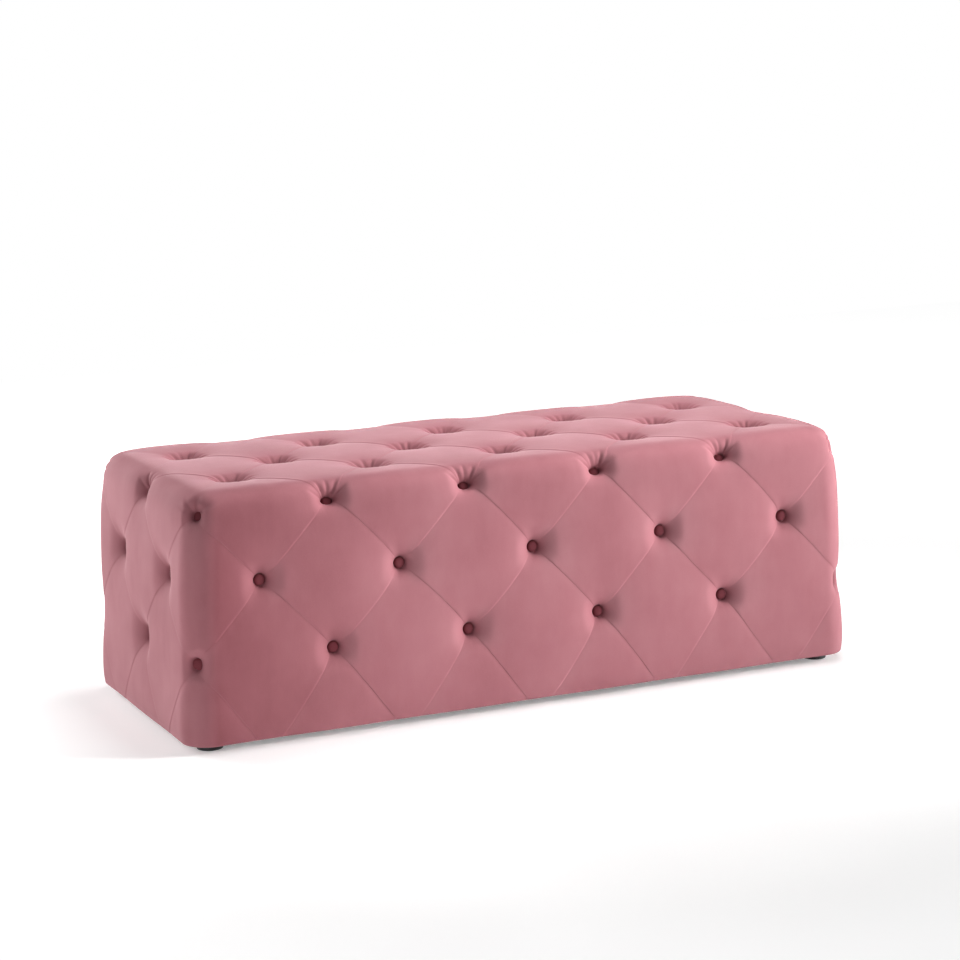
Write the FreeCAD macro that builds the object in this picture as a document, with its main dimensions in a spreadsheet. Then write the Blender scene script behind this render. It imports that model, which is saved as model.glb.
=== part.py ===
import FreeCAD, Part
import math
import os
from FreeCAD import Placement, Rotation, Vector

# Button-tufted entryway bench: a wooden carcass padded with foam, wrapped in one velvet cover that is
# pulled in by buttons on the top, on the edges and on all four sides, on four low round feet.
# The origin is on the floor under the middle; X runs along the bench, the front looks to -Y, Z is up.

doc = FreeCAD.newDocument("tufted_bench")
sheet = doc.addObject("Spreadsheet::Sheet", "sizes")
driving_sizes = [
    ("length", 1204, "overall, over the puffs of the two ends"),
    ("width", 500, "overall, front to back"),
    ("height", 410, "floor to the crown of the top"),
    ("corner_inset", 17, "corner buttons in from the crown planes"),
    ("upper_row", 264, "upper row of side buttons above the floor"),
    ("lower_row", 142, "lower row of side buttons above the floor"),
    ("edge_radius", 48, "rounding of the top and upright edges"),
    ("end_lean", 18, "the two ends lean in over the full height"),
    ("rim_drop", 20, "rim buttons below the crown of the top"),
    ("pleat_drop", 3, "fall from a crown to the middle of a pleat"),
    ("hem_turn", 1, "bottom edge turned in under the crown planes"),
    ("turn_height", 62, "height over which the bottom edge turns in"),
    ("side_pit", 22, "seat of a side button below the crown"),
    ("top_pit", 28, "seat of a top button below the crown"),
    ("rim_pit", 28, "seat of a rim button below the crown"),
    ("rim_corner_pit", 24, "seat of an upper corner button below the crown"),
    ("corner_pit", 16, "seat of a lower corner button below the crown"),
    ("pit_floor", 20, "radius of the flat floor of a pit"),
    ("pit_reach", 50, "radius where a pit runs out"),
    ("skin", 3, "velvet with its quilted backing"),
    ("soft_gap", 0.5, "between the cover and the foam"),
    ("rest_gap", 0.3, "buttons, ties and nails from the cover"),
    ("side_pad", 35, "crown to panel on the sides"),
    ("top_pad", 60, "crown to deck on the top"),
    ("panel_thickness", 9, "plywood of the four sides"),
    ("deck_thickness", 12, "plywood of the deck"),
    ("deck_setback", 18, "ends of the deck in from the end panels"),
    ("post_size", 38, "square corner posts"),
    ("rail_height", 45, "rails, bearers and stretchers"),
    ("rail_thickness", 25, "rails, bearers, stretchers and studs"),
    ("stud_width", 38, "upright studs between the rails"),
    ("brace_offset", 175, "studs, bearers and stretchers from the middle"),
    ("hem_width", 64, "cover turned under, from the crown plane"),
    ("dust_thickness", 1, "black cloth under the bench"),
    ("dust_inset", 24, "edge of that cloth in from the crown planes"),
    ("foot_height", 12, "feet"),
    ("foot_radius", 21, "feet, at the floor"),
    ("foot_inset", 50, "middle of a foot in from the crown planes"),
    ("button_radius", 11, "covered buttons"),
    ("button_height", 7, "covered buttons"),
    ("cord_radius", 1.2, "twine that ties a button"),
    ("cord_hole", 3, "radius of the hole for the twine"),
    ("washer_radius", 10, "backing washers"),
    ("washer_thickness", 3, "backing washers"),
    ("nail_radius", 1.2, "nails of the edge buttons"),
    ("nail_length", 38, "nails of the edge buttons"),
    ("screw_radius", 2, "wood screws"),
    ("screw_head", 4, "radius of a screw head"),
    ("screw_head_depth", 3, "height of a screw head"),
    ("screw_length", 30, "wood screws, over all"),
    ("tack_inset", 59, "tacks of hem and dust cloth in from the crown planes"),
    ("tack_head", 4, "radius of a tack head"),
    ("tack_length", 14, "tacks, over all"),
    ("fit_gap", 0.1, "play round every screw, nail and tack"),
]
for row, (alias, amount, note) in enumerate(driving_sizes, 1):
    sheet.set(f"A{row}", alias)
    sheet.set(f"B{row}", str(amount))
    sheet.set(f"C{row}", note)
    sheet.setAlias(f"B{row}", alias)
doc.recompute()


def size(alias):
    return float(sheet.get(alias))


# How many pitches of the button net run along the bench and across it
TUFTS_LONG = 5
TUFTS_DEEP = 2

# Lines and levels that several pieces share
half_length = "sizes.length / 2"
half_width = "sizes.width / 2"
case_x = "(sizes.length / 2 - sizes.side_pad)"
case_y = "(sizes.width / 2 - sizes.side_pad)"
hem_level = "(sizes.foot_height + sizes.dust_thickness)"
frame_level = f"({hem_level} + sizes.skin)"
deck_level = "(sizes.height - sizes.top_pad - sizes.deck_thickness)"
pitch_x = f"((sizes.length - 2 * sizes.corner_inset) / {TUFTS_LONG})"
pitch_y = f"((sizes.width - 2 * sizes.corner_inset) / {TUFTS_DEEP})"
upright = f"({deck_level} - {frame_level})"

nodes = {}
bores = {}


def bind(thing, **expressions):
    for prop, expression in expressions.items():
        thing.setExpression(prop.replace("_at_", ".Base."), str(expression))


def block(label, x, y, z):
    """A squared piece of timber or board; each axis is (start, run)."""
    piece = doc.addObject("Part::Box", label)
    bind(piece, Length=x[1], Width=y[1], Height=z[1])
    bind(piece, Placement_at_x=x[0], Placement_at_y=y[0], Placement_at_z=z[0])
    nodes[label] = piece
    return piece


turn_to = {
    "+x": Rotation(Vector(0, 1, 0), 90),
    "-x": Rotation(Vector(0, 1, 0), -90),
    "+y": Rotation(Vector(1, 0, 0), -90),
    "-y": Rotation(Vector(1, 0, 0), 90),
    "+z": Rotation(),
    "-z": Rotation(Vector(1, 0, 0), 180),
}


def rod(label, at, way, radius, run):
    piece = doc.addObject("Part::Cylinder", label)
    piece.Placement = Placement(Vector(), turn_to[way])
    bind(piece, Radius=radius, Height=run)
    bind(piece, Placement_at_x=at[0], Placement_at_y=at[1], Placement_at_z=at[2])
    return piece


def bore(owner, at, way, radius, run):
    """A hole that is taken out of the piece called owner once all its holes are known."""
    holes = bores.setdefault(owner, [])
    holes.append(rod(f"{owner}_hole_{len(holes) + 1}", at, way, radius, run))


# Corner posts, and the panels that close the four sides of the carcass
sides = {"left": -1, "right": 1}
faces = {"front": -1, "back": 1}


def outer_start(half, sign, depth, run):
    """Start of a piece that lies depth inside the carcass on the side that sign names."""
    if sign < 0:
        return f"-{half} + {depth}"
    return f"{half} - {depth} - {run}"


for face, fy in faces.items():
    for side, sx in sides.items():
        block(f"{face}_{side}_post",
              (outer_start(case_x, sx, "sizes.panel_thickness", "sizes.post_size"), "sizes.post_size"),
              (outer_start(case_y, fy, "sizes.panel_thickness", "sizes.post_size"), "sizes.post_size"),
              (frame_level, upright))
    block(f"{face}_panel",
          (f"-{case_x}", f"2 * {case_x}"),
          (outer_start(case_y, fy, "0", "sizes.panel_thickness"), "sizes.panel_thickness"),
          (frame_level, upright))
for side, sx in sides.items():
    block(f"{side}_end_panel",
          (outer_start(case_x, sx, "0", "sizes.panel_thickness"), "sizes.panel_thickness"),
          (f"-{case_y} + sizes.panel_thickness", f"2 * ({case_y} - sizes.panel_thickness)"),
          (frame_level, upright))
block("deck_panel", (f"sizes.deck_setback - {case_x}", f"2 * ({case_x} - sizes.deck_setback)"),
      (f"-{case_y}", f"2 * {case_y}"),
      (deck_level, "sizes.deck_thickness"))

# Rails between the posts, studs between the rails, bearers under the deck and stretchers at the bottom
between_x = f"({case_x} - sizes.panel_thickness - sizes.post_size)"
between_y = f"({case_y} - sizes.panel_thickness - sizes.post_size)"
inside_y = f"({case_y} - sizes.panel_thickness - sizes.rail_thickness)"
rail_levels = {"top": f"{deck_level} - sizes.rail_height", "bottom": frame_level}
for level, start in rail_levels.items():
    for face, fy in faces.items():
        block(f"{face}_{level}_rail", (f"-{between_x}", f"2 * {between_x}"),
              (outer_start(case_y, fy, "sizes.panel_thickness", "sizes.rail_thickness"), "sizes.rail_thickness"),
              (start, "sizes.rail_height"))
    for side, sx in sides.items():
        block(f"{side}_{level}_rail",
              (outer_start(case_x, sx, "sizes.panel_thickness", "sizes.rail_thickness"), "sizes.rail_thickness"),
              (f"-{between_y}", f"2 * {between_y}"), (start, "sizes.rail_height"))
        name = f"{side}_deck_bearer" if level == "top" else f"{side}_bottom_stretcher"
        block(name, (f"{sx} * sizes.brace_offset - sizes.rail_thickness / 2", "sizes.rail_thickness"),
              (f"-{inside_y}", f"2 * {inside_y}"), (start, "sizes.rail_height"))
for face, fy in faces.items():
    for side, sx in sides.items():
        block(f"{face}_{side}_stud",
              (f"{sx} * sizes.brace_offset - sizes.stud_width / 2", "sizes.stud_width"),
              (outer_start(case_y, fy, "sizes.panel_thickness", "sizes.rail_thickness"), "sizes.rail_thickness"),
              (f"{frame_level} + sizes.rail_height", f"{upright} - 2 * sizes.rail_height"))

# The button net. Each tuft has its place on the crown surface, its outward normal and the depth of its pit.
half_x, half_y, top = size("length") / 2, size("width") / 2, size("height")
step_x = (size("length") - 2 * size("corner_inset")) / TUFTS_LONG
step_y = (size("width") - 2 * size("corner_inset")) / TUFTS_DEEP
net_x = [(i - TUFTS_LONG / 2) * step_x for i in range(TUFTS_LONG + 1)]
net_y = [(j - TUFTS_DEEP / 2) * step_y for j in range(TUFTS_DEEP + 1)]
mid_x = [x + step_x / 2 for x in net_x[:-1]]
mid_y = [y + step_y / 2 for y in net_y[:-1]]
hem_z = size("foot_height") + size("dust_thickness")


def on_crown(point):
    """The place on the crown surface that is nearest to a point, and the outward normal there."""
    radius = size("edge_radius")
    reach_x = half_x - radius - size("end_lean") * max(0.0, min(1.0, point.z / top))
    reach_y = half_y - radius
    inner = Vector(max(-reach_x, min(reach_x, point.x)), max(-reach_y, min(reach_y, point.y)),
                   min(top - radius, point.z))
    normal = (point - inner).normalize()
    return inner + normal * radius, normal


class Tuft:
    def __init__(self, group, point, pit):
        self.group = group
        self.crown, self.normal = on_crown(point)
        self.pit = pit

    def seat(self, lower=0.0):
        return self.crown - self.normal * (self.pit + lower)


tufts = {}
for i, x in enumerate(net_x):
    for j, y in enumerate(net_y):
        rim_x, rim_y = i in (0, TUFTS_LONG), j in (0, TUFTS_DEEP)
        x_out = math.copysign(half_x, x) if rim_x else x
        y_out = math.copysign(half_y, y) if rim_y else y
        low = Vector(x_out, y_out, size("lower_row"))
        if not (rim_x or rim_y):
            tufts["top", i, j] = Tuft("top", Vector(x, y, top), size("top_pit"))
            continue
        pit = size("rim_corner_pit" if rim_x and rim_y else "rim_pit")
        tufts["top", i, j] = Tuft("edge", Vector(x_out, y_out, top - size("rim_drop")), pit)
        if rim_x and rim_y:
            tufts["low", i, j] = Tuft("edge", low, size("corner_pit"))
        else:
            group = ("left_end" if x < 0 else "right_end") if rim_x else ("front" if y < 0 else "back")
            tufts["low", i, j] = Tuft(group, low, size("side_pit"))
for i, x in enumerate(mid_x):
    for j, y in enumerate(mid_y):
        tufts["top", i + 0.5, j + 0.5] = Tuft("top", Vector(x, y, top), size("top_pit"))
    for j, group in ((0, "front"), (TUFTS_DEEP, "back")):
        point = Vector(x, math.copysign(half_y, net_y[j]), size("upper_row"))
        tufts["high", i + 0.5, j] = Tuft(group, point, size("side_pit"))
for j, y in enumerate(mid_y):
    for i, group in ((0, "left_end"), (TUFTS_LONG, "right_end")):
        point = Vector(math.copysign(half_x, net_x[i]), y, size("upper_row"))
        tufts["high", i, j + 0.5] = Tuft(group, point, size("side_pit"))

# The puffs between the buttons. A diamond is four corners of the net in order; below the lower row the
# cover runs to the bottom edge in diamonds and, under each button, in two half triangles.
diamonds = []
for i in range(TUFTS_LONG + 1):
    for j in range(TUFTS_DEEP):
        if 0 < i < TUFTS_LONG:
            diamonds.append([("top", i, j), ("top", i + 0.5, j + 0.5), ("top", i, j + 1), ("top", i - 0.5, j + 0.5)])
        else:
            inward = 0.5 if i == 0 else -0.5
            diamonds.append([("top", i, j), ("top", i + inward, j + 0.5), ("top", i, j + 1), ("high", i, j + 0.5)])
for i in range(TUFTS_LONG):
    for j in range(TUFTS_DEEP + 1):
        if 0 < j < TUFTS_DEEP:
            diamonds.append([("top", i, j), ("top", i + 0.5, j - 0.5), ("top", i + 1, j), ("top", i + 0.5, j + 0.5)])
        else:
            inward = 0.5 if j == 0 else -0.5
            diamonds.append([("top", i, j), ("top", i + 0.5, j + inward), ("top", i + 1, j), ("high", i + 0.5, j)])
ring = [(i, 0) for i in range(TUFTS_LONG)]
ring += [(TUFTS_LONG, j) for j in range(TUFTS_DEEP)]
ring += [(i, TUFTS_DEEP) for i in range(TUFTS_LONG, 0, -1)]
ring += [(0, j) for j in range(TUFTS_DEEP, 0, -1)]
halves = []
for k, here in enumerate(ring):
    after = ring[(k + 1) % len(ring)]
    before = ring[k - 1]
    middle = ((here[0] + after[0]) / 2, (here[1] + after[1]) / 2)
    earlier = ((here[0] + before[0]) / 2, (here[1] + before[1]) / 2)
    diamonds.append([("high", *middle), ("low", *here), ("foot", *middle), ("low", *after)])
    diamonds.append([("top", *here), ("high", *earlier), ("low", *here), ("high", *middle)])
    halves.append([("low", *here), ("foot", *middle), ("foot", *here)])
    halves.append([("low", *here), ("foot", *earlier), ("foot", *here)])

POLES = 15
stations = [0.5 - 0.5 * math.cos(math.pi * k / (POLES - 1)) for k in range(POLES)]
knots = [k / (POLES - 3) for k in range(POLES - 2)]
repeats = [4] + [1] * (POLES - 4) + [4]


def corner_place(key, level):
    """Where a corner of the net lies on the crown surface."""
    if key[0] != "foot":
        return tufts[key].crown
    x = (key[1] - TUFTS_LONG / 2) * step_x
    y = (key[2] - TUFTS_DEEP / 2) * step_y
    if key[1] in (0, TUFTS_LONG):
        x = math.copysign(half_x, x)
    if key[2] in (0, TUFTS_DEEP):
        y = math.copysign(half_y, y)
    return on_crown(Vector(x, y, hem_z + level))[0]


def pit_share(distance, level):
    """How far a pit is sunk at a distance from its button: 1 on its floor, 0 where it runs out."""
    start, stop = size("pit_floor") + 0.6 * level, size("pit_reach") + 0.6 * level
    ease = min(1.0, max(0.0, (stop - distance) / (stop - start)))
    return ease * ease * (2.0 - ease)


def sunk(point, fall, level, corners):
    """A pole of the cover: a place on the crown surface, let in by the puff's fall and by the pits."""
    place, normal = on_crown(point)
    for key in corners:
        if key[0] != "foot":
            share = pit_share((place - tufts[key].crown).Length, level)
            fall += (tufts[key].pit - fall) * share
    turn = 1 - (place.z - hem_z) / size("turn_height")
    if turn > 0:
        fall += size("hem_turn") * turn ** 3
    return place - normal * (fall + level)


def patch(rows):
    surface = Part.BSplineSurface()
    surface.buildFromPolesMultsKnots(rows, repeats, repeats, knots, knots, False, False, 3, 3)
    return surface.toShape()


def puff_face(corners, level):
    a, b, c, d = [corner_place(key, level) for key in corners]
    drop = size("pleat_drop")
    outward = sum((on_crown(place)[1] for place in (a, b, c, d)), Vector()).normalize() * size("edge_radius")
    rows = []
    for s in stations:
        row = []
        for t in stations:
            point = a * ((1 - s) * (1 - t)) + b * (s * (1 - t)) + c * (s * t) + d * ((1 - s) * t)
            point += outward * (16 * s * (1 - s) * t * (1 - t))
            fall = drop * ((1 - 2 * s) ** 4 + (1 - 2 * t) ** 4)
            row.append(sunk(point, fall, level, corners))
        rows.append(row)
    return patch(rows)


def skirt_face(corners, level):
    a, b, c = [corner_place(key, level) for key in corners]
    drop = size("pleat_drop")
    rows = []
    for s in stations:
        row = []
        for t in stations:
            point = a * (1 - s) + (b * (1 - t) + c * t) * s
            ends = (1 - 2 * s) ** 4
            share = (1 - t) ** 2
            fall = drop * (1 + ends) * share + 2 * drop * ends * (1 - share)
            row.append(sunk(point, fall, level, corners))
        rows.append(row)
    return patch(rows)


def tufted_solid(level):
    """The whole padded body, closed below by a flat face; level is how deep it lies under the crown."""
    skins = [puff_face(corners, level) for corners in diamonds]
    skins += [skirt_face(corners, level) for corners in halves]
    rim = []
    for skin_face in skins:
        for edge in skin_face.Edges:
            box = edge.BoundBox
            if box.ZLength < 1e-6 and abs(box.ZMin - hem_z - level) < 1e-6 and edge.Length > 1:
                rim.append(edge)
    base = Part.Face(Part.Wire(Part.__sortEdges__(rim)))
    shell = Part.makeShell(skins + [base])
    shell.sewShape()
    solid = Part.Solid(shell.Shells[0] if shell.ShapeType != "Shell" else shell)
    if solid.Volume < 0:
        solid.reverse()
    return solid


def shaped(label, shape):
    piece = doc.addObject("Part::Feature", label)
    piece.Shape = shape
    piece.Placement = Placement()
    return piece


def cut(label, base, tool):
    piece = doc.addObject("Part::Cut", label)
    piece.Base = base
    piece.Tool = tool
    return piece


def common(label, base, tool):
    piece = doc.addObject("Part::Common", label)
    piece.Base = base
    piece.Tool = tool
    return piece


# The velvet cover: the tufted body less its own lining, with the hem turned under the frame
tufted_body = shaped("tufted_body", tufted_solid(0.0))
tufted_lining = shaped("tufted_lining", tufted_solid(size("skin")))
velvet_bag = cut("velvet_bag", tufted_body, tufted_lining)
hem_opening = block("hem_opening",
                    (f"sizes.hem_width - {half_length}", f"2 * ({half_length} - sizes.hem_width)"),
                    (f"sizes.hem_width - {half_width}", f"2 * ({half_width} - sizes.hem_width)"),
                    ("sizes.foot_height", "sizes.dust_thickness + 2 * sizes.skin"))
del nodes["hem_opening"]
nodes["tufted_cover"] = cut("tufted_cover", velvet_bag, hem_opening)

# Foam slabs glued to the deck and to the four panels, cut from the same tufted form
padding = shaped("padding", tufted_solid(size("skin") + size("soft_gap")))
slab_top = "(sizes.height - sizes.top_pad)"
slabs = {
    "top_foam": ((f"-{half_length}", "sizes.length"), (f"-{half_width}", "sizes.width"),
                 (slab_top, "sizes.top_pad")),
}
for face, fy in faces.items():
    slabs[f"{face}_foam"] = ((f"-{half_length}", "sizes.length"),
                             (f"-{half_width}" if fy < 0 else case_y, "sizes.side_pad"), ("0", slab_top))
for side, sx in sides.items():
    slabs[f"{side}_end_foam"] = ((f"-{half_length}" if sx < 0 else case_x, "sizes.side_pad"),
                                 (f"-{case_y}", f"2 * {case_y}"), ("0", slab_top))
for label, (x, y, z) in slabs.items():
    room = block(f"{label}_room", x, y, z)
    del nodes[f"{label}_room"]
    nodes[label] = common(label, padding, room)

# Holes for the twine: through the foam and the board behind each tied button
groups = ["top", "front", "back", "left_end", "right_end"]
boards = {"top": "deck_panel", "front": "front_panel", "back": "back_panel",
          "left_end": "left_end_panel", "right_end": "right_end_panel"}
levels = {"top": "sizes.height", "high": "sizes.upper_row", "low": "sizes.lower_row"}
outward = {"top": "+z", "front": "-y", "back": "+y", "left_end": "-x", "right_end": "+x"}
for (row, i, j), tuft in tufts.items():
    if tuft.group == "edge":
        continue
    at = [f"{i - TUFTS_LONG / 2} * {pitch_x}", f"{j - TUFTS_DEEP / 2} * {pitch_y}", levels[row]]
    way = outward[tuft.group]
    axis = "xyz".index(way[1])
    sign = "-" if way[0] == "-" else ""
    board, pad = "sizes.panel_thickness", "sizes.side_pad"
    face_line = [f"{sign}{case_x}", f"{sign}{case_y}", slab_top][axis]
    if tuft.group == "top":
        board, pad = "sizes.deck_thickness", "sizes.top_pad"
    at[axis] = face_line
    bore(f"{tuft.group}_foam", at, way, "sizes.cord_hole", pad)
    back = at[:]
    back[axis] = f"{face_line} - {sign or '+'}1 * {board}"
    bore(boards[tuft.group], back, way, "sizes.cord_hole", board)


def standing(shape, foot, normal):
    """A copy of a shape modelled on the Z axis, set up at a place along a normal."""
    copy = shape.copy()
    copy.Placement = Placement(foot, Rotation(Vector(0, 0, 1), normal))
    return copy


# Velvet-covered buttons: a low cone under a flat dome
button_back = doc.addObject("Part::Cone", "button_back")
bind(button_back, Radius1="sizes.button_radius * 0.6", Radius2="sizes.button_radius",
     Height="sizes.button_height * 0.4")
button_dome = doc.addObject("Part::Ellipsoid", "button_dome")
button_dome.Angle1 = 0
button_dome.Angle2 = 90
bind(button_dome, Radius1="sizes.button_height * 0.6", Radius2="sizes.button_radius",
     Placement_at_z="sizes.button_height * 0.4")
button_form = doc.addObject("Part::Fuse", "button_form")
button_form.Base = button_back
button_form.Tool = button_dome
doc.recompute()
for group in groups + ["edge"]:
    members = [tuft for tuft in tufts.values() if tuft.group == group]
    caps = [standing(button_form.Shape, tuft.seat(-size("rest_gap")), tuft.normal) for tuft in members]
    nodes[f"{group}_buttons"] = shaped(f"{group}_buttons", Part.makeCompound(caps))

# Twine from the back of the cover through foam and board, knotted behind a plastic washer
ties = []
washers = []
for tuft in tufts.values():
    if tuft.group == "edge":
        continue
    wall = size("deck_thickness") if tuft.group == "top" else size("panel_thickness")
    pad = size("top_pad") if tuft.group == "top" else size("side_pad")
    washer_at = tuft.crown - tuft.normal * (pad + wall)
    ring_form = Part.makeCylinder(size("washer_radius"), size("washer_thickness"))
    ring_form = ring_form.cut(Part.makeCylinder(size("cord_radius") + size("fit_gap"), size("washer_thickness")))
    washers.append(standing(ring_form, washer_at, -tuft.normal))
    start = size("skin") + size("rest_gap")
    run = pad + wall + size("washer_thickness") - tuft.pit - start
    knot = Part.makeCylinder(size("cord_radius") * 2.5, size("cord_radius") * 3, Vector(0, 0, run))
    cord = Part.makeCylinder(size("cord_radius"), run).fuse(knot)
    ties.append(standing(cord, tuft.seat(start), -tuft.normal))
nodes["tuft_ties"] = shaped("tuft_ties", Part.makeCompound(ties))
nodes["tuft_washers"] = shaped("tuft_washers", Part.makeCompound(washers))

# Nails that hold the edge and corner buttons to deck and posts, and their holes; on the rim they are
# driven downwards into the deck
nails = []
channels = []
for (row, i, j), tuft in tufts.items():
    if tuft.group == "edge":
        shank = Part.makeCylinder(size("nail_radius"), size("nail_length"))
        hole = Part.makeCylinder(size("nail_radius") + size("fit_gap"), size("nail_length"))
        head = tuft.seat(size("skin") + 3 * size("rest_gap"))
        way = tuft.normal + Vector(0, 0, 0.5 if row == "top" else 0)
        nails.append(standing(shank, head, -way))
        channels.append(standing(hole, head, -way))
nodes["edge_button_nails"] = shaped("edge_button_nails", Part.makeCompound(nails))
nail_channels = shaped("nail_channels", Part.makeCompound(channels))
nailed = list(slabs) + ["deck_panel", "front_panel", "back_panel"]
nailed += [f"{face}_{side}_post" for face in faces for side in sides]
for owner in nailed:
    bores.setdefault(owner, []).append(nail_channels)

# Wood screws: panels to posts and studs, end panels to posts, deck to rails and bearers, feet to posts
screws = {"panel_screws": [], "deck_screws": [], "foot_screws": []}
screw_form = Part.makeCylinder(size("screw_head"), size("screw_head_depth"))
screw_form = screw_form.fuse(Part.makeCylinder(size("screw_radius"), size("screw_length")))


def evaluated(expression):
    return float(sheet.evalExpression(expression))


def screw(group, at, way, *owners):
    """A screw whose head lies flush at the first owner's face, driven in through all owners."""
    foot = Vector(*[evaluated(line) for line in at])
    screws[group].append(standing(screw_form, foot, turn_to[way].multVec(Vector(0, 0, 1))))
    for owner in owners:
        bore(owner, at, way, "sizes.screw_radius + sizes.fit_gap", "sizes.screw_length")
    bore(owners[0], at, way, "sizes.screw_head + sizes.fit_gap", "sizes.screw_head_depth")


post_x = f"({case_x} - sizes.panel_thickness - sizes.post_size / 2)"
post_y = f"({case_y} - sizes.panel_thickness - sizes.post_size / 2)"
rail_y = f"({case_y} - sizes.panel_thickness - sizes.rail_thickness / 2)"
for face, fy in faces.items():
    for side, sx in sides.items():
        post = f"{face}_{side}_post"
        into_y = "+y" if fy < 0 else "-y"
        into_x = "+x" if sx < 0 else "-x"
        for z in (f"{frame_level} + sizes.post_size * 2", f"{deck_level} - sizes.post_size * 2"):
            screw("panel_screws", (f"{sx} * {post_x}", f"{fy} * {case_y}", z), into_y, f"{face}_panel", post)
        for z in (f"{frame_level} + sizes.post_size", f"{deck_level} - sizes.post_size * 3"):
            screw("panel_screws", (f"{sx} * {case_x}", f"{fy} * {post_y}", z), into_x, f"{side}_end_panel", post)
        screw("panel_screws", (f"{sx} * sizes.brace_offset", f"{fy} * {case_y}", f"{frame_level} + {upright} / 2"),
              into_y, f"{face}_panel", f"{face}_{side}_stud")
        screw("deck_screws", (f"{sx} * ({between_x} - sizes.rail_height)", f"{fy} * {rail_y}", slab_top), "-z",
              "deck_panel", f"{face}_top_rail")
        screw("deck_screws", (f"{sx} * sizes.brace_offset", f"{fy} * {inside_y} / 3", slab_top), "-z",
              "deck_panel", f"{side}_deck_bearer")

# Four round plastic feet, each held by one screw that reaches the post through cloth and hem
foot_x = f"({half_length} - sizes.foot_inset)"
foot_y = f"({half_width} - sizes.foot_inset)"
for face, fy in faces.items():
    for side, sx in sides.items():
        label = f"{face}_{side}_foot"
        foot = doc.addObject("Part::Cone", label)
        bind(foot, Radius1="sizes.foot_radius", Radius2="sizes.foot_radius - 2", Height="sizes.foot_height")
        bind(foot, Placement_at_x=f"{sx} * {foot_x}", Placement_at_y=f"{fy} * {foot_y}")
        nodes[label] = foot
        at = (f"{sx} * {foot_x}", f"{fy} * {foot_y}", "sizes.foot_height / 4")
        screw("foot_screws", at, "+z", label, "dust_cover", "tufted_cover", f"{face}_{side}_post")
        bore(label, (at[0], at[1], "0"), "+z", "sizes.screw_head + sizes.fit_gap", "sizes.foot_height / 4")
for group, members in screws.items():
    nodes[group] = shaped(group, Part.makeCompound(members))

# Black cloth under the bench, and the tacks that hold it and the hem to the bottom rails
block("dust_cover",
      (f"sizes.dust_inset - {half_length}", f"2 * ({half_length} - sizes.dust_inset)"),
      (f"sizes.dust_inset - {half_width}", f"2 * ({half_width} - sizes.dust_inset)"),
      ("sizes.foot_height", "sizes.dust_thickness"))
tack_form = Part.makeCylinder(size("tack_head"), size("dust_thickness"))
tack_form = tack_form.fuse(Part.makeCylinder(size("nail_radius"), size("tack_length")))
tack_level = "sizes.foot_height - sizes.dust_thickness"
tack_spots = []
for face, fy in faces.items():
    for i in range(TUFTS_LONG):
        tack_spots.append((f"{i + 0.5 - TUFTS_LONG / 2} * {pitch_x}", f"{fy} * ({half_width} - sizes.tack_inset)",
                           tack_level, f"{face}_bottom_rail"))
for side, sx in sides.items():
    for j in range(TUFTS_DEEP):
        tack_spots.append((f"{sx} * ({half_length} - sizes.tack_inset)", f"{j + 0.5 - TUFTS_DEEP / 2} * {pitch_y}",
                           tack_level, f"{side}_bottom_rail"))
tacks = []
for x, y, z, rail in tack_spots:
    foot = Vector(evaluated(x), evaluated(y), evaluated(z))
    tacks.append(standing(tack_form, foot, Vector(0, 0, 1)))
    for owner in ("dust_cover", "tufted_cover", rail):
        bore(owner, (x, y, z), "+z", "sizes.nail_radius + sizes.fit_gap", "sizes.tack_length")
nodes["cloth_tacks"] = shaped("cloth_tacks", Part.makeCompound(tacks))

# Take the holes out of the pieces that have them
for owner, holes in bores.items():
    drill = doc.addObject("Part::MultiFuse" if len(holes) > 1 else "Part::Compound", f"{owner}_drill")
    if len(holes) > 1:
        drill.Shapes = holes
    else:
        drill.Links = holes
    blank = nodes[owner]
    blank.Label = f"{owner}_blank"
    nodes[owner] = cut(f"{owner}_drilled", blank, drill)
    nodes[owner].Label = owner
doc.recompute()

failed = [thing.Label for thing in doc.Objects if {"Invalid", "Error"} & set(thing.State)]
for label, piece in nodes.items():
    if piece.Shape.isNull() or not piece.Shape.isValid() or not piece.Shape.Solids:
        failed.append(label)
if failed:
    raise RuntimeError("these objects did not come out: " + ", ".join(failed))
os.makedirs("parts", exist_ok=True)
for label, piece in nodes.items():
    piece.Shape.exportStep(f"parts/{label}.step")
    print(label, len(piece.Shape.Solids), round(piece.Shape.Volume / 1000, 1))
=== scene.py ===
import math

import bmesh
import bpy
import numpy as np
from mathutils import Matrix, Vector


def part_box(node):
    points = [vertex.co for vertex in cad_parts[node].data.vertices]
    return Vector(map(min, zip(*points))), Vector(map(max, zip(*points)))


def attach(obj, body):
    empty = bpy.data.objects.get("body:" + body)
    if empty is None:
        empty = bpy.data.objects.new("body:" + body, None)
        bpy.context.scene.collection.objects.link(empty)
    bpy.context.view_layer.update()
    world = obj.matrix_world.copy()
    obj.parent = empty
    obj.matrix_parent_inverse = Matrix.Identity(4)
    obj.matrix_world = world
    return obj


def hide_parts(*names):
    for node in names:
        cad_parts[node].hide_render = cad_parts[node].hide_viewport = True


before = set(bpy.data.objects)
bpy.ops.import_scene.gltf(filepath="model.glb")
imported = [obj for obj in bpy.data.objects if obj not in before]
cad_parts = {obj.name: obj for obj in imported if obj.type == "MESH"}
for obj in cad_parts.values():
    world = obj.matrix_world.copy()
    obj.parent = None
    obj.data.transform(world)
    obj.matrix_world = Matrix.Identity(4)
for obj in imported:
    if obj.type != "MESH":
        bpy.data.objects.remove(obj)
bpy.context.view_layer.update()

# Timber of the carcass: planed pine posts, rails, studs, bearers and stretchers, screwed and glued
# into an open box. The grain runs along each length of timber.


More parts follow.
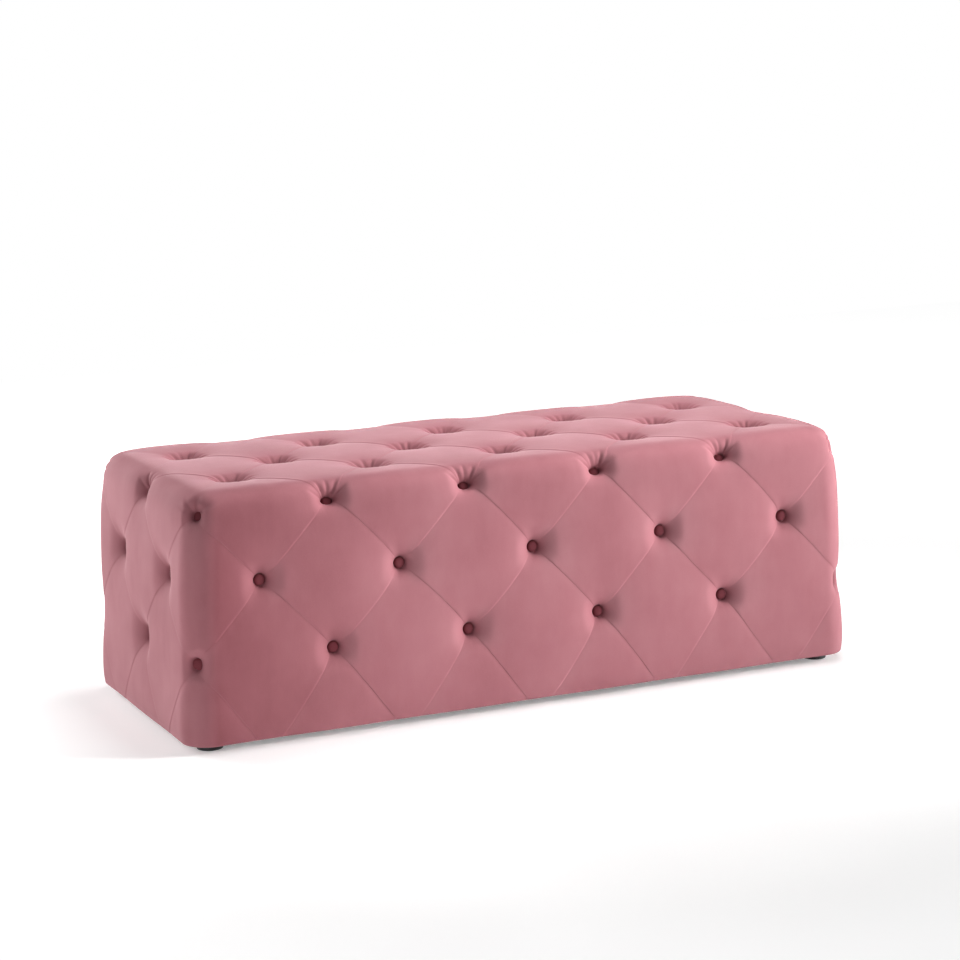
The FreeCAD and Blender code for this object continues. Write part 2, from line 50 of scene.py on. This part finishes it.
class Wire:
    """One socket of a material; sums on wires add their Math nodes."""

    def __init__(self, tree, socket):
        self.tree, self.socket = tree, socket

    def node(self, kind, settings, inputs, out=0):
        made = self.tree.nodes.new(kind)
        for name, value in settings.items():
            if name == "stops":
                ramp = made.color_ramp.elements
                while len(ramp) < len(value):
                    ramp.new(0.5)
                for stop, (at, colour) in zip(ramp, value):
                    stop.position, stop.color = at, (*colour, 1.0)
            else:
                setattr(made, name, value)
        for name, value in inputs.items():
            if isinstance(value, Wire):
                self.tree.links.new(value.socket, made.inputs[name])
            else:
                made.inputs[name].default_value = value
        return Wire(self.tree, made.outputs[out])

    def sum(self, operation, first, second):
        return self.node("ShaderNodeMath", {"operation": operation}, {0: first, 1: second})

    def __add__(self, other):
        return self.sum("ADD", self, other)

    def __radd__(self, other):
        return self.sum("ADD", other, self)

    def __sub__(self, other):
        return self.sum("SUBTRACT", self, other)

    def __rsub__(self, other):
        return self.sum("SUBTRACT", other, self)

    def __mul__(self, other):
        return self.sum("MULTIPLY", self, other)

    def __rmul__(self, other):
        return self.sum("MULTIPLY", other, self)

    def noise(self, scale, detail=3.0, rough=0.5):
        return self.node("ShaderNodeTexNoise", {},
                         {"Vector": self, "Scale": scale, "Detail": detail, "Roughness": rough})

    def stretched(self, by):
        return self.node("ShaderNodeMapping", {}, {"Vector": self, "Scale": by})

    def colours(self, *stops):
        return self.node("ShaderNodeValToRGB", {"stops": stops}, {"Fac": self})

    def relief(self, strength, depth):
        return self.node("ShaderNodeBump", {}, {"Height": self, "Strength": strength, "Distance": depth})


def new_finish(name, **sockets):
    """A material with its shader's even values set; returns it, its shader and the place on the piece."""
    finish = bpy.data.materials.new(name)
    finish.use_nodes = True
    tree = finish.node_tree
    shader = tree.nodes["Principled BSDF"]
    for socket, value in sockets.items():
        shader.inputs[socket.replace("_", " ").title().replace("Ior", "IOR")].default_value = value
    place = Wire(tree, tree.nodes.new("ShaderNodeTexCoord").outputs["Object"])
    return finish, shader, place


def feed(shader, **wires):
    """Joins what changes over the surface to the shader's sockets."""
    for socket, wire in wires.items():
        wire.tree.links.new(wire.socket, shader.inputs[socket.replace("_", " ").title()])


def dress(names, finish):
    """Gives carried-over solids their finish."""
    for name in names:
        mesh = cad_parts[name].data
        mesh.materials.clear()
        mesh.materials.append(finish)


def pine(name, along):
    """Planed pine whose grain is drawn out along one direction."""
    finish, shader, place = new_finish(name)
    grain = place.stretched(along).noise(60.0, 4.0, 0.6)
    fibre = place.stretched(along).noise(400.0, 2.0)
    rings = grain * 0.8 + fibre * 0.2
    feed(shader,
         base_color=rings.colours((0.30, (0.50, 0.30, 0.13)), (0.52, (0.66, 0.45, 0.23)),
                                  (0.75, (0.74, 0.55, 0.31))),
         roughness=fibre * 0.2 + 0.55,
         normal=fibre.relief(0.15, 0.0004))
    return finish


upright_pine = pine("pine_upright", (1.0, 1.0, 0.06))
long_pine = pine("pine_long", (0.06, 1.0, 1.0))
cross_pine = pine("pine_cross", (1.0, 0.06, 1.0))
carcass_corners = [f"{face}_{side}" for face in ("front", "back") for side in ("left", "right")]
dress([f"{corner}_post" for corner in carcass_corners], upright_pine)
dress([f"{corner}_stud" for corner in carcass_corners], upright_pine)
dress([f"{face}_{level}_rail" for face in ("front", "back") for level in ("top", "bottom")], long_pine)
dress([f"{side}_{level}_rail" for side in ("left", "right") for level in ("top", "bottom")], cross_pine)
dress([f"{side}_deck_bearer" for side in ("left", "right")], cross_pine)
dress([f"{side}_bottom_stretcher" for side in ("left", "right")], cross_pine)

# Plywood of the carcass: a deck and four side panels of poplar ply, screwed to the timber and bored
# where the twine of a button comes through.
plywood, shader, place = new_finish("plywood")
veneer = place.stretched((0.15, 1.0, 0.3)).noise(45.0, 5.0, 0.65)
feed(shader, base_color=veneer.colours((0.3, (0.55, 0.40, 0.24)), (0.7, (0.73, 0.60, 0.42))),
     roughness=veneer * 0.15 + 0.6, normal=veneer.relief(0.1, 0.0003))
dress(["deck_panel", "front_panel", "back_panel", "left_end_panel", "right_end_panel"], plywood)

# Screws, nails and tacks: zinc-plated steel. Screws hold panels, deck and feet to the timber, nails hold
# the buttons on edges and corners, and tacks hold the hem and the dust cloth.
steel, shader, place = new_finish("zinc_steel", metallic=1.0)
drawn = place.noise(900.0, 2.0)
feed(shader, base_color=drawn.colours((0.3, (0.50, 0.51, 0.53)), (0.7, (0.66, 0.67, 0.68))),
     roughness=drawn * 0.2 + 0.28)
dress(["panel_screws", "deck_screws", "foot_screws", "cloth_tacks", "edge_button_nails"], steel)

# Twine and washers: waxed twine comes from the back of each face button through foam and board and is
# knotted behind a plastic washer.
twine, shader, place = new_finish("waxed_twine")
strand = place.noise(1500.0, 2.0)
feed(shader, base_color=strand.colours((0.3, (0.62, 0.56, 0.44)), (0.7, (0.78, 0.73, 0.61))),
     roughness=strand * 0.2 + 0.6, normal=strand.relief(0.3, 0.0003))
dress(["tuft_ties"], twine)
washer_plastic, shader, place = new_finish("washer_plastic")
haze = place.noise(300.0, 2.0)
feed(shader, base_color=haze.colours((0.3, (0.70, 0.69, 0.66)), (0.7, (0.78, 0.77, 0.74))),
     roughness=haze * 0.2 + 0.4)
dress(["tuft_washers"], washer_plastic)

# The padded cover: one velvet skin over foam, drawn into pits by buttons on top, edges and sides, with
# the spare cloth folded into pleats from button to button and the hem turned under the frame.
half_x, half_y, crown_top = 0.602, 0.250, 0.410
edge_round, end_lean, rim_fullness = 0.048, 0.018, 0.6
hem_level, hem_width, hem_cut = 0.013, 0.064, 0.0145
hem_tuck, tuck_start, tuck_run = 0.004, 0.060, 0.047
tufts_long, tufts_deep, pitch_x, pitch_y = 5, 2, 0.234, 0.233
upper_row, lower_row, rim_row = 0.264, 0.142, 0.390
side_pit, end_pit, top_pit = 0.025, 0.0215, 0.028
rim_pit, rim_corner_pit, corner_pit = 0.028, 0.024, 0.018
side_reach, end_reach, top_reach = 0.040, 0.050, 0.036
rim_corner_reach, corner_reach = 0.026, 0.030
top_fold, rim_corner_fold = 0.0036, 0.0045
seat_radius, reach_swell = 0.0100, 0.006
dimple_share, dimple_radius = 0.22, 0.044
fold_width, fold_end = 0.0020, 0.044
pleat_run, pleat_drop, pleat_crease, pleat_lip = 0.165, 0.0015, 0.0005, 0.0003
below_hem = -0.015
chance = np.random.default_rng(7)


def on_crown(points):
    """The places on the rounded block through the crowns nearest to some points, and their normals."""
    reach = np.tile([half_x - edge_round, half_y - edge_round, crown_top - edge_round], (len(points), 1))
    reach[:, 0] -= end_lean * np.clip(points[:, 2] / crown_top, 0.0, 1.0)
    inner = np.clip(points, reach * [-1, -1, -99], reach)
    normals = points - inner
    normals /= np.linalg.norm(normals, axis=1, keepdims=True)
    return inner + normals * edge_round, normals


def net_point(i, j, z):
    """A point of the button net; the rim of the net lies on the crown planes."""
    x, y = (i - tufts_long / 2) * pitch_x, (j - tufts_deep / 2) * pitch_y
    if i in (0, tufts_long):
        x = math.copysign(half_x, x)
    if j in (0, tufts_deep):
        y = math.copysign(half_y, y)
    return on_crown(np.array([[x, y, z]]))


tufts = {}


def set_tuft(key, group, z, pit, reach=side_reach, fold=0.0):
    """A button's place on the crown, and how deep and how far round it draws the cloth in."""
    crown, normal = net_point(key[1], key[2], z)
    tufts[key] = {"group": group, "crown": crown[0], "normal": normal[0],
                  "pit": pit, "reach": reach, "fold": fold}


for i in range(tufts_long + 1):
    for j in range(tufts_deep + 1):
        on_ends, on_faces = i in (0, tufts_long), j in (0, tufts_deep)
        if not (on_ends or on_faces):
            set_tuft(("top", i, j), "top", crown_top, top_pit, top_reach, top_fold)
            continue
        if on_ends and on_faces:
            set_tuft(("top", i, j), "edge", rim_row, rim_corner_pit, rim_corner_reach, rim_corner_fold)
            set_tuft(("low", i, j), "edge", lower_row, corner_pit, corner_reach)
        else:
            set_tuft(("top", i, j), "edge", rim_row, rim_pit, top_reach, top_fold)
            group = ("left_end" if i == 0 else "right_end") if on_ends else ("front" if j == 0 else "back")
            set_tuft(("low", i, j), group, lower_row, side_pit, end_reach if on_ends else side_reach)
for i in range(tufts_long):
    for j in range(tufts_deep):
        set_tuft(("top", i + 0.5, j + 0.5), "top", crown_top, top_pit, top_reach, top_fold)
    set_tuft(("high", i + 0.5, 0), "front", upper_row, side_pit)
    set_tuft(("high", i + 0.5, tufts_deep), "back", upper_row, side_pit)
for j in range(tufts_deep):
    set_tuft(("high", 0, j + 0.5), "left_end", upper_row, end_pit, end_reach)
    set_tuft(("high", tufts_long, j + 0.5), "right_end", upper_row, end_pit, end_reach)

puffs, skirts = [], []
for i in range(tufts_long + 1):
    for j in range(tufts_deep):
        first, last = ("top", i - 0.5, j + 0.5), ("top", i + 0.5, j + 0.5)
        first = first if i > 0 else ("high", 0, j + 0.5)
        last = last if i < tufts_long else ("high", i, j + 0.5)
        puffs.append([("top", i, j), last, ("top", i, j + 1), first])
for i in range(tufts_long):
    for j in range(tufts_deep + 1):
        first, last = ("top", i + 0.5, j - 0.5), ("top", i + 0.5, j + 0.5)
        first = first if j > 0 else ("high", i + 0.5, 0)
        last = last if j < tufts_deep else ("high", i + 0.5, j)
        puffs.append([("top", i, j), first, ("top", i + 1, j), last])
ring = [(i, 0) for i in range(tufts_long)] + [(tufts_long, j) for j in range(tufts_deep)]
ring += [(i, tufts_deep) for i in range(tufts_long, 0, -1)] + [(0, j) for j in range(tufts_deep, 0, -1)]
for k, here in enumerate(ring):
    after, before = ring[(k + 1) % len(ring)], ring[k - 1]
    middle = ((here[0] + after[0]) / 2, (here[1] + after[1]) / 2)
    earlier = ((here[0] + before[0]) / 2, (here[1] + before[1]) / 2)
    puffs.append([("high", *middle), ("low", *here), ("foot", *middle), ("low", *after)])
    puffs.append([("top", *here), ("high", *earlier), ("low", *here), ("high", *middle)])
    skirts.append([("low", *here), ("foot", *middle), ("foot", *here)])
    skirts.append([("low", *here), ("foot", *earlier), ("foot", *here)])


def corner_place(key):
    """A corner of a puff; the lowest ones lie under the hem, where the cover is cut off later."""
    if key[0] == "foot":
        return net_point(key[1], key[2], below_hem)[0][0]
    return tufts[key]["crown"]


bows = {}


def bow(first, second):
    """How far the middle of the pleat between two corners strays from the straight line."""
    name = tuple(sorted((first, second), key=str))
    if name not in bows:
        line = corner_place(name[1]) - corner_place(name[0])
        normal = on_crown((corner_place(name[1]) + corner_place(name[0]))[None] / 2)[1][0]
        across = np.cross(normal, line / np.linalg.norm(line))
        bows[name] = across * chance.uniform(-0.003, 0.003)
    return bows[name]


half_lines = [0, 0.5, 1.1, 1.9, 3, 4.5, 6.3, 8.4, 10.7, 13.1, 15.6, 18.2, 20.9, 23.7, 26.6, 29.7, 33.1, 37,
              41.5, 46.8, 53, 60.5, 69, 76, 82.5]
cloth_lines = np.array(half_lines + [165 - line for line in half_lines[-2::-1]]) / 165


def crowded(u):
    """Grid lines are drawn towards the pleats and pits, where the cloth turns sharply."""
    return np.interp(u, np.linspace(0, 1, len(cloth_lines)), cloth_lines)


def eased(x):
    """A soft step from 0 to 1."""
    x = np.clip(x, 0.0, 1.0)
    return x * x * (3 - 2 * x)


def drawn_in(points, fall, corners, sectors, slack):
    """Cover points let in below the crown by the puff's fall, the pits with their small folds and the hem."""
    places, normals = on_crown(points)
    level, upward = np.hypot(normals[:, 0], normals[:, 1]), np.clip(normals[:, 2], 0, 1)
    fall = fall - edge_round * ((level ** 3 + upward ** 3) ** (-1 / 3) - 1) * rim_fullness
    pit_share = np.zeros(len(places))
    for key, sector in zip(corners, sectors):
        if key[0] == "foot":
            continue
        tuft = tufts[key]
        away = np.linalg.norm(places - tuft["crown"], axis=1)
        reach = tuft["reach"] + reach_swell * np.cos(2 * sector) ** 2
        ease = np.clip((reach - away) / (reach - seat_radius), 0.0, 1.0)
        share = 0.92 * (1 - np.sqrt(1 - ease ** 2)) + 0.08 * ease ** 2 * (2 - ease)
        fall = fall + dimple_share * tuft["pit"] * np.exp(-(away / dimple_radius) ** 2)
        fall = fall + (tuft["pit"] - fall) * share
        window = eased((away - seat_radius) / 0.006) * eased((fold_end - away) / 0.022)
        upper = 1.0 if tuft["group"] == "top" else eased((places[:, 2] - tuft["crown"][2]) / 0.012)
        window = window * upper * eased(sector / 0.2) * eased((math.pi / 2 - sector) / 0.2)
        folds = 4 if tuft["reach"] == rim_corner_reach else 3
        for fold in range(folds):
            at = (fold + chance.uniform(0.3, 0.7)) * math.pi / 2 / folds
            depth = slack * chance.uniform(0.6, 1.2) * tuft["fold"]
            fall = fall + depth * window * np.exp(-((sector - at) * away / fold_width) ** 2)
        pit_share = np.maximum(pit_share, share)
    tuck = np.clip((tuck_start - places[:, 2]) / tuck_run, 0.0, 1.2)
    fall = fall + hem_tuck * tuck ** 3
    return places - normals * fall[:, None], normals, pit_share


def smoothed_out(points):
    """The pleats are shallower on the seat and on the ends, where the cloth is stretched harder."""
    return np.maximum(eased((points[:, 2] - 0.34) / 0.05), eased((np.abs(points[:, 0]) - 0.52) / 0.05))


def crease(distance):
    """The sharp line of a pleat in a slight hollow."""
    return 0.85 * np.exp(-distance / 0.0008) + 0.15 * np.exp(-distance / 0.004)


def lip(distance):
    """The upper cloth of a pleat stands a little proud of the lower one."""
    return distance / 0.0025 * np.exp(1 - distance / 0.0025)


def over(corners, edge):
    """1 where a puff's cloth lies over its neighbour's at a pleat, -1 where it lies under it."""
    centre = sum(corner_place(key) for key in corners) / len(corners)
    middle = sum(corner_place(key) for key in edge) / len(edge)
    return math.copysign(1.0, np.dot(centre - middle, (0.02, 0.35, 1.0)))


def puff(corners, s, t):
    """The cloth of one diamond between four buttons."""
    a, b, c, d = [corner_place(key) for key in corners]
    points = (np.outer((1 - s) * (1 - t), a) + np.outer(s * (1 - t), b) + np.outer(s * t, c)
              + np.outer((1 - s) * t, d))
    swing_s, swing_t = np.sin(math.pi * s), np.sin(math.pi * t)
    points += np.outer((1 - t) * swing_s, bow(corners[0], corners[1]))
    points += np.outer(t * swing_s, bow(corners[3], corners[2]))
    points += np.outer((1 - s) * swing_t, bow(corners[0], corners[3]))
    points += np.outer(s * swing_t, bow(corners[1], corners[2]))
    outward = sum(on_crown(np.array([place]))[1][0] for place in (a, b, c, d))
    middle = 16 * s * (1 - s) * t * (1 - t)
    points += np.outer(middle, edge_round * outward / np.linalg.norm(outward))
    near_s, near_t = np.minimum(s, 1 - s) * pleat_run, np.minimum(t, 1 - t) * pleat_run
    faint = smoothed_out(points)
    fall = pleat_drop * (1 - 0.5 * faint) * (np.abs(1 - 2 * s) ** 2.6 + np.abs(1 - 2 * t) ** 2.6)
    fall += pleat_crease * (1 - 0.6 * faint) * (crease(near_s) + crease(near_t))
    pleats = ((0, 3, s, near_t), (1, 2, 1 - s, near_t), (0, 1, t, near_s), (3, 2, 1 - t, near_s))
    for first, last, inside, along in pleats:
        way = over(corners, [corners[first], corners[last]])
        fall -= way * pleat_lip * lip(inside * pleat_run) * eased(along / 0.03)
    fall -= chance.uniform(-0.001, 0.0015) * middle
    sectors = [np.arctan2(t, s), np.arctan2(t, 1 - s), np.arctan2(1 - t, 1 - s), np.arctan2(1 - t, s)]
    slack = 1.0 if points[:, 2].mean() > 0.33 else 0.15
    places, normals, pit = drawn_in(points, fall, corners, sectors, slack)
    # The third value is painted shade: darkest deep in the pits, faint along the pleat lines.
    return places, normals, np.maximum(pit ** 1.5, 0.12 * np.maximum(crease(near_s), crease(near_t)))


def skirt(corners, s, t):
    """Half of the cloth that falls from a low button to the hem."""
    a, b, c = [corner_place(key) for key in corners]
    points = np.outer(1 - s, a) + np.outer(s * (1 - t), b) + np.outer(s * t, c)
    points += np.outer(np.sin(math.pi * s) * (1 - t), bow(corners[0], corners[1]))
    ends, share = np.abs(1 - 2 * s) ** 2.6, (1 - t) ** 2
    near, near_tip = 0.8 * t * s * pitch_x / 2, np.minimum(s, 1 - s) * pleat_run
    faint = smoothed_out(points)
    fall = pleat_drop * (1 - 0.5 * faint) * ((1 + ends) * share + 2 * ends * (1 - share) * (s < 0.5))
    fall += pleat_crease * (1 - 0.6 * faint) * (crease(near) + crease(near_tip) * share)
    fall += pleat_lip * lip(near) * eased(near_tip / 0.03) * eased((1 - t) * 4)
    places, normals, pit = drawn_in(points, fall, corners, [0.9 * t, t * 0, t * 0], 0.0)
    # The third value is painted shade: darkest deep in the pits, faint along the pleat line.
    return places, normals, np.maximum(pit ** 1.5, 0.12 * crease(near))


bm = bmesh.new()
# Per-point painted light and shade for the velvet's colour: one layer for the pits, pleats and buttons, one
# for which way the cloth faces.
pit_shade_layer = bm.verts.layers.float.new("tucked")
side_light_layer = bm.verts.layers.float.new("pile_lean")


def lay(shape, corners, at_corner):
    """One square of cloth, moved to its place by its shape and turned to face outwards."""
    weave = len(cloth_lines) - 1
    square = bmesh.ops.create_grid(bm, x_segments=weave, y_segments=weave, size=1.0)["verts"]
    across = np.array([vert.co[:2] for vert in square]) * 0.5 + 0.5
    places, normals, tucked = shape(corners, crowded(across[:, 0]), crowded(across[:, 1]))
    for vert, place, normal, share in zip(square, places, normals, tucked):
        vert.co = place
        vert[pit_shade_layer] = share
        # How much painted side light the point takes: all of it on the corner puffs, otherwise as much as it
        # faces front or back.
        vert[side_light_layer] = 1.0 if at_corner else abs(normal[1])
    faces = list({face for vert in square for face in vert.link_faces})
    middle = faces[len(faces) // 2]
    middle.normal_update()
    out = on_crown(np.array([middle.calc_center_median()]))[1][0]
    if middle.normal.dot(Vector(out)) < 0:
        bmesh.ops.reverse_faces(bm, faces=faces)


def on_corner(key):
    return key[1] in (0, tufts_long) and key[2] in (0, tufts_deep)


for corners in puffs:
    lay(puff, corners, corners[2][0] == "low" and on_corner(corners[2]))
for corners in skirts:
    lay(skirt, corners, on_corner(corners[0]))
bmesh.ops.remove_doubles(bm, verts=bm.verts, dist=0.00012)
bmesh.ops.bisect_plane(bm, geom=bm.verts[:] + bm.edges[:] + bm.faces[:], plane_co=(0, 0, hem_cut),
                       plane_no=(0, 0, -1), clear_outer=True)
straight_x, straight_y = 0.53, 0.18
for inset, level in ((0.0012, hem_level + 0.0003), (0.004, hem_level), (hem_width, hem_level)):
    rim = [edge for edge in bm.edges if edge.is_boundary]
    folded = bmesh.ops.extrude_edge_only(bm, edges=rim)["geom"]
    for vert in [part for part in folded if isinstance(part, bmesh.types.BMVert)]:
        if inset < hem_width:
            way = Vector((vert.co.x - np.clip(vert.co.x, -straight_x, straight_x),
                          vert.co.y - np.clip(vert.co.y, -straight_y, straight_y), 0))
            vert.co -= way.normalized() * inset
        else:
            vert.co.x = np.clip(vert.co.x, inset - half_x, half_x - inset)
            vert.co.y = np.clip(vert.co.y, inset - half_y, half_y - inset)
        vert.co.z = level
under = [vert for vert in bm.verts if vert.co.z < hem_level + 0.0002]
bmesh.ops.remove_doubles(bm, verts=under, dist=0.0003)
bm.normal_update()
# Painted light and shade: front and back cloth that turns towards the ends is lightened, most where it turns
# to the left, and the front and back at the left end are darkened, fading over about 15 cm towards the right.
corner_shade_start, corner_shade_run, corner_shade_depth = -0.56, 0.15, 1.15
for vert in bm.verts:
    tilt = vert.normal.x
    lift = tilt * (1 - tilt) if tilt > 0 else -3.0 * tilt * (1 + tilt)
    shade = corner_shade_depth * math.exp(-max(0.0, vert.co.x - corner_shade_start) / corner_shade_run) * vert.normal.y ** 2
    vert[side_light_layer] *= lift - shade


def piece(name, bm, finish):
    """A mesh object at the origin from a finished bmesh, smooth all over."""
    mesh = bpy.data.meshes.new(name)
    for face in bm.faces:
        face.smooth = True
    bm.to_mesh(mesh)
    bm.free()
    mesh.materials.append(finish)
    made = bpy.data.objects.new(name, mesh)
    bpy.context.scene.collection.objects.link(made)
    return made


velvet, shader, place = new_finish("dusty_rose_velvet", sheen_weight=0.18, sheen_roughness=0.30,
                                   sheen_tint=(0.92, 0.76, 0.79, 1.0), specular_ior_level=0.15)
# Painted shade: the cloth's colour is darkened deep in the pits, along the pleats and on the buttons.
tucked = place.node("ShaderNodeAttribute", {"attribute_name": "tucked"}, {}, out="Fac")
brushed = place.noise(7.0, 3.0, 0.55)
streaks = place.stretched((1.0, 1.0, 0.35)).noise(38.0, 3.0, 0.6)
pile = place.noise(900.0, 2.0)
# Painted light and shade by which way the cloth faces and how near the left end it is.
side_light = place.node("ShaderNodeAttribute", {"attribute_name": "pile_lean"}, {}, out="Fac")
tone = brushed * 0.30 + streaks * 0.12 + pile * 0.10 + 0.27
tone = tone * (1 - tucked * 0.60) * (1 + side_light * 0.45)
feed(shader, base_color=tone.colours((0.12, (0.130, 0.025, 0.033)), (0.50, (0.320, 0.122, 0.141)),
                                     (0.72, (0.400, 0.175, 0.197))),
     roughness=pile * 0.15 + 0.8, normal=pile.relief(0.25, 0.0004))
cover = piece("velvet_cover", bm, velvet)
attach(cover, "root")
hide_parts("tufted_cover", "top_foam", "front_foam", "back_foam", "left_end_foam", "right_end_foam")

# Buttons: domed metal moulds covered with the same velvet, one in the bottom of every pit. Those on the
# faces are tied through with twine, those on edges and corners are nailed.
dome = [(0.0, 6.2), (3.4, 6.05), (6.4, 5.5), (8.6, 4.3), (9.7, 2.7), (9.6, 1.5), (8.4, 0.7), (0.0, 0.35)]
# The buttons are painted darker than the cloth, a painted shade for lying deep in the pits.
button_painted_shade = 1.25


def turned(bm, outline, steps):
    """Spins an outline of radii and heights in mm round the upright axis."""
    verts = [bm.verts.new((radius / 1000, 0, level / 1000)) for radius, level in outline]
    edges = [bm.edges.new(pair) for pair in zip(verts, verts[1:])]
    bmesh.ops.spin(bm, geom=verts + edges, cent=(0, 0, 0), axis=(0, 0, 1), angle=2 * math.pi, steps=steps,
                   use_merge=True)


for group in ("top", "front", "back", "left_end", "right_end", "edge"):
    bm = bmesh.new()
    pit_shade_layer = bm.verts.layers.float.new("tucked")
    for tuft in [tuft for tuft in tufts.values() if tuft["group"] == group]:
        turned(bm, dome, 20)
        button = [vert for vert in bm.verts if not vert.tag]
        seat = Vector(tuft["crown"] - tuft["normal"] * tuft["pit"])
        facing = Vector((0, 0, 1)).rotation_difference(Vector(tuft["normal"]))
        bmesh.ops.transform(bm, verts=button, matrix=Matrix.Translation(seat) @ facing.to_matrix().to_4x4())
        for vert in button:
            vert[pit_shade_layer] = button_painted_shade
            vert.tag = True
    bmesh.ops.remove_doubles(bm, verts=bm.verts, dist=0.00005)
    bmesh.ops.recalc_face_normals(bm, faces=bm.faces)
    buttons = piece(f"{group}_velvet_buttons", bm, velvet)
    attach(buttons, "root")
    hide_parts(f"{group}_buttons")

# Dust cloth: thin black non-woven cloth, pulled tight and tacked through the hem into the bottom rails.
# It closes the open bottom of the carcass and sags a little in the middle.
cloth_x, cloth_y, cloth_sag, cloth_pull = 0.578, 0.226, 0.0016, 0.0003
bm = bmesh.new()
bmesh.ops.create_grid(bm, x_segments=96, y_segments=40, size=1.0)
for vert in bm.verts:
    x, y = vert.co.x, vert.co.y
    sag = cloth_sag * (1 - x ** 6) * (1 - y ** 4)
    ripple = math.sin(31 * x + 2.0 * y) * math.sin(11 * y - 3 * x)
    pull = cloth_pull * ripple * (1 - x ** 8) * (1 - y ** 8)
    vert.co = (x * cloth_x, y * cloth_y, hem_level - sag + pull)
bmesh.ops.reverse_faces(bm, faces=bm.faces)
dust_black, shader, place = new_finish("black_dust_cloth")
felted = place.noise(700.0, 3.0, 0.6)
feed(shader, base_color=felted.colours((0.3, (0.010, 0.010, 0.011)), (0.7, (0.030, 0.030, 0.032))),
     roughness=felted * 0.2 + 0.75, normal=felted.relief(0.3, 0.0003))
dust_cloth = piece("dust_cloth", bm, dust_black)
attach(dust_cloth, "root")
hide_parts("dust_cover")

# Feet: four low round feet of moulded black plastic, with a recess for the screw head. One screw each
# holds them through cloth and hem to a corner post.
foot_profile = [(2.2, 6.0), (4.3, 6.0), (4.3, 0.5), (4.9, 0.0), (19.6, 0.0), (20.7, 0.5), (21.0, 1.5),
                (20.8, 3.0), (19.4, 11.2), (18.8, 12.0), (2.2, 12.0), (2.2, 6.0)]
foot_plastic, shader, place = new_finish("black_foot_plastic")
grained = place.noise(1200.0, 2.0)
feed(shader, base_color=grained.colours((0.3, (0.008, 0.008, 0.009)), (0.7, (0.016, 0.016, 0.017))),
     roughness=grained * 0.2 + 0.38, normal=grained.relief(0.15, 0.0002))
for corner in carcass_corners:
    low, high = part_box(f"{corner}_foot")
    bm = bmesh.new()
    turned(bm, foot_profile, 40)
    bmesh.ops.remove_doubles(bm, verts=bm.verts, dist=0.00005)
    bmesh.ops.recalc_face_normals(bm, faces=bm.faces)
    bmesh.ops.translate(bm, verts=bm.verts, vec=((low[0] + high[0]) / 2, (low[1] + high[1]) / 2, 0))
    foot = piece(f"{corner}_round_foot", bm, foot_plastic)
    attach(foot, "root")
    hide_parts(f"{corner}_foot")

# Studio: a pale floor that brightens with distance, soft lights from the front right, the left end and
# overhead, a faint one on the near corner, and the camera where the bench is seen from.
floor_size, floor_gap = 4.0, 0.0005
bm = bmesh.new()
bmesh.ops.create_grid(bm, x_segments=2, y_segments=2, size=floor_size)
bmesh.ops.translate(bm, verts=bm.verts, vec=(0, 0, -floor_gap))
floor_finish, shader, place = new_finish("pale_floor", emission_strength=1.0)
paper = place.noise(3.0, 2.0)
far = place.node("ShaderNodeVectorMath", {"operation": "LENGTH"}, {0: place}, "Value") * (1 / floor_size)
feed(shader, base_color=paper.colours((0.3, (0.86, 0.86, 0.86)), (0.7, (0.90, 0.90, 0.90))),
     roughness=paper * 0.1 + 0.55,
     emission_color=far.colours((0.30, (0.27, 0.27, 0.27)), (0.60, (0.9, 0.9, 0.9))))
floor = piece("studio_floor", bm, floor_finish)


def soft_light(name, at, aim, size, power, spread=180):
    """A square soft box at one place that faces another; a small spread keeps its light together."""
    lamp = bpy.data.lights.new(name, "AREA")
    lamp.spread = math.radians(spread)
    lamp.shape, lamp.size, lamp.size_y, lamp.energy = "RECTANGLE", size[0], size[1], power
    light = bpy.data.objects.new(name, lamp)
    facing = (Vector(at) - Vector(aim)).to_track_quat("Z", "Y")
    light.matrix_world = Matrix.Translation(at) @ facing.to_matrix().to_4x4()
    bpy.context.scene.collection.objects.link(light)


soft_light("front_right_light", (3.15, -1.7, 1.2), (0.28, -0.25, 0.5), (1.2, 0.9), 13.0, 36)
soft_light("left_light", (-1.75, 2.3, 0.9), (-0.55, 0.0, 0.25), (1.5, 1.0), 96)
soft_light("overhead_light", (0.4, 0.0, 2.4), (0.2, 0.0, 0.4), (1.6, 1.2), 46)
soft_light("corner_light", (-1.55, -1.15, 0.5), (-0.60, -0.24, 0.2), (0.6, 0.5), 0.36, 32)
world = bpy.data.worlds.new("studio_world")
world.use_nodes = True
sky = Wire(world.node_tree, world.node_tree.nodes.new("ShaderNodeLightPath").outputs["Is Camera Ray"])
background = world.node_tree.nodes["Background"]
background.inputs["Color"].default_value = (1.0, 1.0, 1.0, 1.0)
feed(background, strength=sky * 0.93 + 0.07)
bpy.context.scene.world = world
bpy.context.scene.view_settings.view_transform = "Standard"

swing, rise, roll = math.radians(-24.495), math.radians(12.286), math.radians(-1.5)
distance, aim_height = 4.25607, 0.203
back = Vector((math.sin(swing) * math.cos(rise), -math.cos(swing) * math.cos(rise), math.sin(rise)))
right = (-back).cross(Vector((0, 0, 1))).normalized()
up = right.cross(-back)
level_x = right * math.cos(roll) + up * math.sin(roll)
level_y = up * math.cos(roll) - right * math.sin(roll)
lens = bpy.data.cameras.new("bench_camera")
lens.sensor_width, lens.lens, lens.shift_x, lens.shift_y = 36.0, 93.75, 0.00614, 0.0805
camera = bpy.data.objects.new("bench_camera", lens)
stand = Matrix((level_x, level_y, back)).transposed().to_4x4()
stand.translation = Vector((0, 0, aim_height)) + back * distance
camera.matrix_world = stand
bpy.context.scene.collection.objects.link(camera)
bpy.context.scene.camera = camera
